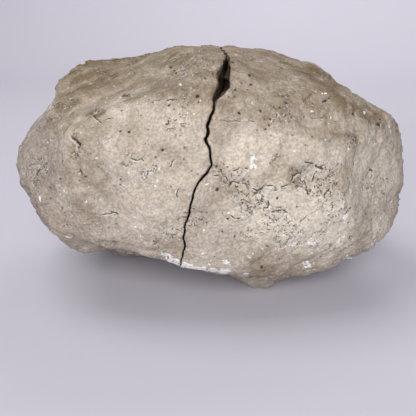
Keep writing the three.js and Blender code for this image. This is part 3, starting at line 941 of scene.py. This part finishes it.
def weathered_limestone(colours):
    """Limestone that has lain in soil: dull, chalky, crumbly and pitted, and brown where the soil clung, with
    painted highlights on its crevices' lips and painted shade in its pits, crevices, crack and chip.
    """
    material = bpy.data.materials.new("Weathered limestone")
    material.use_nodes = True
    tree = material.node_tree
    tree.nodes.clear()
    place = add(tree, "TexCoord", out="Object")
    shade = {name: (*getattr(colours, name), 1) for name in colours.__annotations__}
    mask = {name: add(tree, "Attribute", out="Fac", attribute_name=name) for name in PAINTED}

    clouds = add(tree, "TexNoise", {"Vector": place, "Scale": per_metre(18), "Detail": 5, "Roughness": 0.65})
    mottle = add(tree, "TexNoise", {"Vector": place, "Scale": per_metre(6), "Detail": 5, "Roughness": 0.65})
    crumbs = add(
        tree, "TexNoise",
        {"Vector": place, "Scale": per_metre(3.0), "Detail": 4, "Roughness": 0.7, "Distortion": 0.6},
    )
    # The real grain is finer, and is drawn as coarse as it needs to show.
    grain = add(tree, "TexNoise", {"Vector": place, "Scale": per_metre(1.2), "Detail": 2, "Roughness": 0.65})
    # Shifted places, which make the edges of spots and lines uneven.
    scatter = add(tree, "TexNoise", {"Vector": place, "Scale": per_metre(2.0), "Detail": 2}, "Color")
    moved = add(tree, "VectorMath", {0: scatter, 1: (1.6 * MM,) * 3, 2: place}, operation="MULTIPLY_ADD")

    # Limestone in clouds of two tones, then what is grey, rubbed pale or stained by soil, then mottles.
    worn = add(tree, "MapRange", {VALUE: clouds, LOW: 0.38, HIGH: 0.62}, **SMOOTH)
    two_tones = {FACTOR: worn, COLOUR_A: shade["buff"], COLOUR_B: shade["pale"]}
    stone = add(tree, "Mix", two_tones, MIXED, **COLOURS)
    patchy = add(tree, "MapRange", {VALUE: mottle, LOW: 0.3, HIGH: 0.6, TO_LOW: 0.7}, **SMOOTH)
    greyish, chalky, stained = (
        add(tree, "Math", {0: mask[tone], 1: patchy}, operation="MULTIPLY", use_clamp=True)
        for tone in ("greyish", "chalky", "stained")
    )
    darker = add(tree, "MapRange", {VALUE: mottle, LOW: 0.5, HIGH: 0.72, TO_HIGH: 0.32}, **SMOOTH)
    paler = add(tree, "MapRange", {VALUE: mottle, LOW: 0.44, HIGH: 0.3, TO_HIGH: 0.3}, **SMOOTH)
    coats = ((greyish, "grey"), (chalky, "chalk"), (stained, "stain"), (darker, "stain"), (paler, "chalk"))
    for amount, colour in coats:
        stone = add(tree, "Mix", {FACTOR: amount, COLOUR_A: stone, COLOUR_B: shade[colour]}, MIXED, **COLOURS)

    # Crumbs: what stands up is painted lighter and what lies low darker, both as painted light and shade on
    # the crumbs and as rubbed stone and dirt.
    finer = add(tree, "Math", {0: grain, 1: 0.65}, operation="MULTIPLY")
    crumb = add(tree, "Math", {0: crumbs, 1: 0.35, 2: finer}, operation="MULTIPLY_ADD")
    shading = {VALUE: crumb, LOW: 0.36, HIGH: 0.64, TO_LOW: 0.77, TO_HIGH: 1.18}
    level = add(tree, "MapRange", shading, **SMOOTH)
    light = add(tree, "CombineColor", {"Red": level, "Green": level, "Blue": level})
    lit = {FACTOR: 1.0, COLOUR_A: stone, COLOUR_B: light}
    stone = add(tree, "Mix", lit, MIXED, blend_type="MULTIPLY", **COLOURS)

    # Pinholes in the stone, painted as dark spots of shade, and white grains of calcite, which are fewer
    # where soil stains the stone and where shade is painted on it.
    pinholes = add(tree, "TexVoronoi", {"Vector": moved, "Scale": per_metre(3.0)})
    spot = add(tree, "MapRange", {VALUE: pinholes, LOW: 0.2, HIGH: 0.1}, **SMOOTH)
    lots = add(tree, "SeparateColor", {"Color": pinholes.node.outputs["Color"]}).node.outputs
    chosen = add(tree, "MapRange", {VALUE: lots["Red"], LOW: 0.7, HIGH: 0.74}, **SMOOTH)
    pinhole = add(tree, "Math", {0: spot, 1: chosen}, operation="MULTIPLY")
    chosen = add(tree, "MapRange", {VALUE: lots["Green"], LOW: 0.72, HIGH: 0.76}, **SMOOTH)
    speck = add(tree, "Math", {0: spot, 1: chosen}, operation="MULTIPLY")
    clean = add(tree, "MapRange", {VALUE: mask["stained"], TO_LOW: 0.85, TO_HIGH: 0.2})
    speck = add(tree, "Math", {0: speck, 1: clean}, operation="MULTIPLY")

    # Short winding crevices with a painted highlight on one lip, which crowd together where the skin is
    # porous.
    winding = add(
        tree, "TexNoise",
        {"Vector": place, "Scale": per_metre(2.1), "Detail": 2, "Roughness": 0.65, "Distortion": 0.6},
    )
    winding = add(tree, "Math", {0: winding, 1: 0.5}, operation="SUBTRACT")
    crowd = add(tree, "TexNoise", {"Vector": place, "Scale": per_metre(15), "Detail": 1})
    crowd = add(tree, "Math", {0: mask["porous"], 1: 0.26, 2: crowd}, operation="MULTIPLY_ADD")
    crowd = add(tree, "MapRange", {VALUE: crowd, LOW: 0.57, HIGH: 0.69}, **SMOOTH)
    stretch = add(tree, "TexNoise", {"Vector": place, "Scale": per_metre(1.9), "Detail": 1})
    stretch = add(tree, "MapRange", {VALUE: stretch, LOW: 0.5, HIGH: 0.56}, **SMOOTH)
    broken_up = add(tree, "Math", {0: stretch, 1: crowd}, operation="MULTIPLY")
    hairline = add(tree, "Math", {0: winding}, operation="ABSOLUTE")
    hairline = add(tree, "MapRange", {VALUE: hairline, LOW: 0.042, HIGH: 0.016}, **SMOOTH)
    hairline = add(tree, "Math", {0: hairline, 1: broken_up}, operation="MULTIPLY")
    lip_highlight = add(tree, "MapRange", {VALUE: winding, LOW: 0.045, HIGH: 0.06}, **SMOOTH)
    lip_highlight_end = add(tree, "MapRange", {VALUE: winding, LOW: 0.13, HIGH: 0.09}, **SMOOTH)
    for share in (lip_highlight_end, broken_up, 0.42):
        lip_highlight = add(tree, "Math", {0: lip_highlight, 1: share}, operation="MULTIPLY")

    # The crevices that have a place, as ragged lines with a painted highlight on the lower lip, and the
    # holes.
    ragged_side = add(tree, "Math", {0: crumbs, 1: 5.0, 2: -2.5}, operation="MULTIPLY_ADD")
    side = add(tree, "Math", {0: mask["crevice_side"], 1: ragged_side}, operation="ADD")
    crevice = add(tree, "Math", {0: side}, operation="ABSOLUTE")
    crevice = add(tree, "MapRange", {VALUE: crevice, LOW: 0.8, HIGH: 0.3}, **SMOOTH)
    crevice = add(tree, "Math", {0: crevice, 1: mask["crevice_near"]}, operation="MULTIPLY")
    ledge_highlight = add(tree, "MapRange", {VALUE: side, LOW: 0.9, HIGH: 1.3}, **SMOOTH)
    ledge_highlight_end = add(tree, "MapRange", {VALUE: side, LOW: 3.0, HIGH: 2.2}, **SMOOTH)
    for share in (ledge_highlight_end, mask["crevice_near"], 0.32):
        ledge_highlight = add(tree, "Math", {0: ledge_highlight, 1: share}, operation="MULTIPLY")
    hole = add(tree, "Math", {0: ragged_side, 1: 0.3, 2: mask["hole"]}, operation="MULTIPLY_ADD")
    hole = add(tree, "MapRange", {VALUE: hole, LOW: 1.1, HIGH: 0.6}, **SMOOTH)
    placed = add(tree, "Math", {0: crevice, 1: hole}, operation="MAXIMUM")

    # All that is dark, the darkest on top: dirt and painted shade in the pinholes, the winding crevices, the
    # crevices that have a place and the holes.
    dark = add(tree, "Math", {0: pinhole, 1: 0.55}, operation="MULTIPLY")
    for mark, strength in ((hairline, 0.76), (placed, 0.85)):
        painted = add(tree, "Math", {0: mark, 1: strength}, operation="MULTIPLY")
        dark = add(tree, "Math", {0: dark, 1: painted}, operation="MAXIMUM")

    # All that is white: the grains and the fresh places.
    fresh = add(tree, "Math", {0: crumbs, 1: 3.0, 2: mask["calcite"]}, operation="MULTIPLY_ADD")
    fresh = add(tree, "MapRange", {VALUE: fresh, LOW: 2.1, HIGH: 2.25}, **SMOOTH)
    white = add(tree, "Math", {0: speck, 1: fresh}, operation="MAXIMUM")

    # The broken faces inside, soiled in patches, and the painted shade deep in the crack and the chip.
    soiled = add(tree, "MapRange", {VALUE: mottle, LOW: 0.4, HIGH: 0.6}, **SMOOTH)
    broken = {FACTOR: soiled, COLOUR_A: shade["broken"], COLOUR_B: shade["stain"]}
    inside = add(tree, "Mix", broken, MIXED, **COLOURS)
    dirty = add(tree, "Math", {0: mask["dirty"], 1: 0.9}, operation="MULTIPLY")
    # Painted highlights on the lips, dirt and painted shade in the dark marks, white calcite, the broken
    # faces, and painted shade in the crack and the chip.
    coats = (
        (lip_highlight, shade["calcite"]), (ledge_highlight, shade["calcite"]), (dark, shade["crevice"]),
        (white, shade["calcite"]), (mask["broken"], inside), (dirty, shade["crevice"]),
    )
    for amount, colour in coats:
        stone = add(tree, "Mix", {FACTOR: amount, COLOUR_A: stone, COLOUR_B: colour}, MIXED, **COLOURS)

    # Bumps: crumbs, grain, mottles that are lumpiest where the stone is stained, painted with shade or grey,
    # pits and calcite.
    height = add(tree, "Math", {0: crumbs, 1: 0.9}, operation="MULTIPLY")
    height = add(tree, "Math", {0: grain, 1: 0.5, 2: height}, operation="MULTIPLY_ADD")
    lumpy = add(tree, "Math", {0: mask["stained"], 1: mask["greyish"]}, operation="ADD", use_clamp=True)
    lumpy = add(tree, "Math", {0: lumpy, 1: 2.2, 2: 0.9}, operation="MULTIPLY_ADD")
    for pattern, rise in ((mottle, lumpy), (dark, -0.7), (white, 0.15)):
        height = add(tree, "Math", {0: pattern, 1: rise, 2: height}, operation="MULTIPLY_ADD")
    bump = add(tree, "Bump", {"Height": height, "Distance": MM, "Strength": 1.0})
    inputs = {"Base Color": stone, "Roughness": 0.92, "Specular IOR Level": 0.25, "Normal": bump}
    add(tree, "OutputMaterial", {"Surface": add(tree, "BsdfPrincipled", inputs)})
    return material


def plain_card(colours):
    """Matt studio card: even and pale, with no gloss that would mirror the stone."""
    material = bpy.data.materials.new("Matt studio card")
    material.use_nodes = True
    tree = material.node_tree
    tree.nodes.clear()
    place = add(tree, "TexCoord", out="Object")
    cloud = add(tree, "TexNoise", {"Vector": place, "Scale": 3.0, "Detail": 2})
    level = add(tree, "MapRange", {VALUE: cloud, TO_LOW: 0.98, TO_HIGH: 1.02})
    tint = add(tree, "CombineColor", {"Red": level, "Green": level, "Blue": level})
    inputs = {FACTOR: 1.0, COLOUR_A: (*colours.floor, 1), COLOUR_B: tint}
    card = add(tree, "Mix", inputs, MIXED, blend_type="MULTIPLY", **COLOURS)
    shader = add(tree, "BsdfPrincipled", {"Base Color": card, "Roughness": 0.9, "Specular IOR Level": 0.1})
    add(tree, "OutputMaterial", {"Surface": shader})
    return material


# ---- Operators ----


class GEODE_OT_halves(bpy.types.Operator):
    """Makes the two halves of the stone, finely weathered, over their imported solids"""

    bl_idname = "geode.halves"
    bl_label = "Stone halves"

    def execute(self, context):
        relief = context.scene.geode_relief
        stone = weathered_limestone(context.scene.geode_colours)
        skin = Skin([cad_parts[name].data for name in HALVES])
        for name, other in zip(HALVES, reversed(HALVES)):
            half = fine_half(name, other, skin, relief)
            half.data.materials.append(stone)
            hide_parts(name)
            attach(half, BODY)
        return {"FINISHED"}


class GEODE_OT_stage(bpy.types.Operator):
    """Lays the floor and its curved backdrop, and sets the lights and the camera"""

    bl_idname = "geode.stage"
    bl_label = "Stage"

    def execute(self, context):
        scene = context.scene
        stage = scene.geode_stage
        self.floor(scene)
        for name, power, size, place, target in LIGHTS:
            self.light(scene, name, getattr(stage, power), size, place, target)
        world = bpy.data.worlds.new("Soft room")
        world.use_nodes = True
        background = world.node_tree.nodes["Background"]
        background.inputs["Color"].default_value = (*linear(ROOM_COLOUR), 1)
        background.inputs["Strength"].default_value = stage.ambient
        scene.world = world
        scene.view_settings.view_transform = "Standard"
        self.camera(scene, stage)
        return {"FINISHED"}

    def floor(self, scene):
        """One swept sheet: flat under the stone, then curved up behind it."""
        sheet = bmesh.new()
        ends = [sheet.verts.new((side * FLOOR_HALF_WIDTH, FLOOR_FRONT, 0)) for side in (-1, 1)]
        line = sheet.edges.new(ends)
        for step in ((0, FLOOR_BACK - FLOOR_FRONT, 0), (0, 0, BACKDROP_HEIGHT)):
            made = bmesh.ops.extrude_edge_only(sheet, edges=[line])["geom"]
            moved = [item for item in made if isinstance(item, bmesh.types.BMVert)]
            edges = [item for item in made if isinstance(item, bmesh.types.BMEdge)]
            line = next(edge for edge in edges if set(edge.verts) == set(moved))
            bmesh.ops.translate(sheet, vec=step, verts=moved)
        fold = [
            edge for edge in sheet.edges
            if all(abs(corner.co.y - FLOOR_BACK) + abs(corner.co.z) < AT_FOLD for corner in edge.verts)
        ]
        bmesh.ops.bevel(
            sheet, geom=fold, offset=FLOOR_BEND, offset_type="OFFSET", affect="EDGES", segments=BEND_STEPS,
            profile=0.5, material=-1,
        )
        bmesh.ops.recalc_face_normals(sheet, faces=sheet.faces)
        facing = next(iter(sheet.faces)).normal
        if facing.z - facing.y < 0:
            bmesh.ops.reverse_faces(sheet, faces=sheet.faces)
        mesh = bpy.data.meshes.new("floor")
        sheet.to_mesh(mesh)
        sheet.free()
        mesh.shade_smooth()
        mesh.materials.append(plain_card(scene.geode_colours))
        floor = bpy.data.objects.new("floor", mesh)
        scene.collection.objects.link(floor)

    def light(self, scene, name, power, size, place, target):
        """A square soft light that faces a target."""
        lamp = bpy.data.lights.new(name, "AREA")
        lamp.size = size
        lamp.energy = power
        lamp.color = linear(LAMP_COLOUR)
        light = bpy.data.objects.new(name, lamp)
        light.location = place
        light.rotation_euler = (Vector(target) - Vector(place)).to_track_quat("-Z", "Y").to_euler()
        scene.collection.objects.link(light)

    def camera(self, scene, stage):
        """A camera in front of the stone, looking down on it."""
        back = Vector((0, -math.cos(stage.elevation), math.sin(stage.elevation)))
        lens = bpy.data.cameras.new("Camera")
        lens.lens = stage.lens
        lens.sensor_width = SENSOR_WIDTH
        lens.clip_start = NEAREST_SEEN
        camera = bpy.data.objects.new("Camera", lens)
        camera.location = Vector(LOOKED_AT) + back * stage.distance
        camera.rotation_euler = (-back).to_track_quat("-Z", "Y").to_euler()
        scene.collection.objects.link(camera)
        scene.camera = camera


class GEODE_PT_sidebar(bpy.types.Panel):
    """Lists what makes the geode"""

    bl_idname = "GEODE_PT_sidebar"
    bl_label = "Halved Geode"
    bl_space_type = "VIEW_3D"
    bl_region_type = "UI"
    bl_category = "Geode"

    def draw(self, context):
        layout = self.layout
        for group in (context.scene.geode_relief, context.scene.geode_colours, context.scene.geode_stage):
            box = layout.box()
            for name in group.__annotations__:
                box.prop(group, name)
        layout.operator(GEODE_OT_halves.bl_idname)
        layout.operator(GEODE_OT_stage.bl_idname)


CLASSES = (GeodeRelief, GeodeColours, GeodeStage, GEODE_OT_halves, GEODE_OT_stage, GEODE_PT_sidebar)


def register():
    for made in CLASSES:
        bpy.utils.register_class(made)
    bpy.types.Scene.geode_relief = PointerProperty(type=GeodeRelief)
    bpy.types.Scene.geode_colours = PointerProperty(type=GeodeColours)
    bpy.types.Scene.geode_stage = PointerProperty(type=GeodeStage)


def unregister():
    del bpy.types.Scene.geode_stage
    del bpy.types.Scene.geode_colours
    del bpy.types.Scene.geode_relief
    for made in reversed(CLASSES):
        bpy.utils.unregister_class(made)


def main():
    """Makes every piece and the stage."""
    register()
    bpy.ops.geode.halves()
    bpy.ops.geode.stage()


if __name__ == "__main__":
    main()
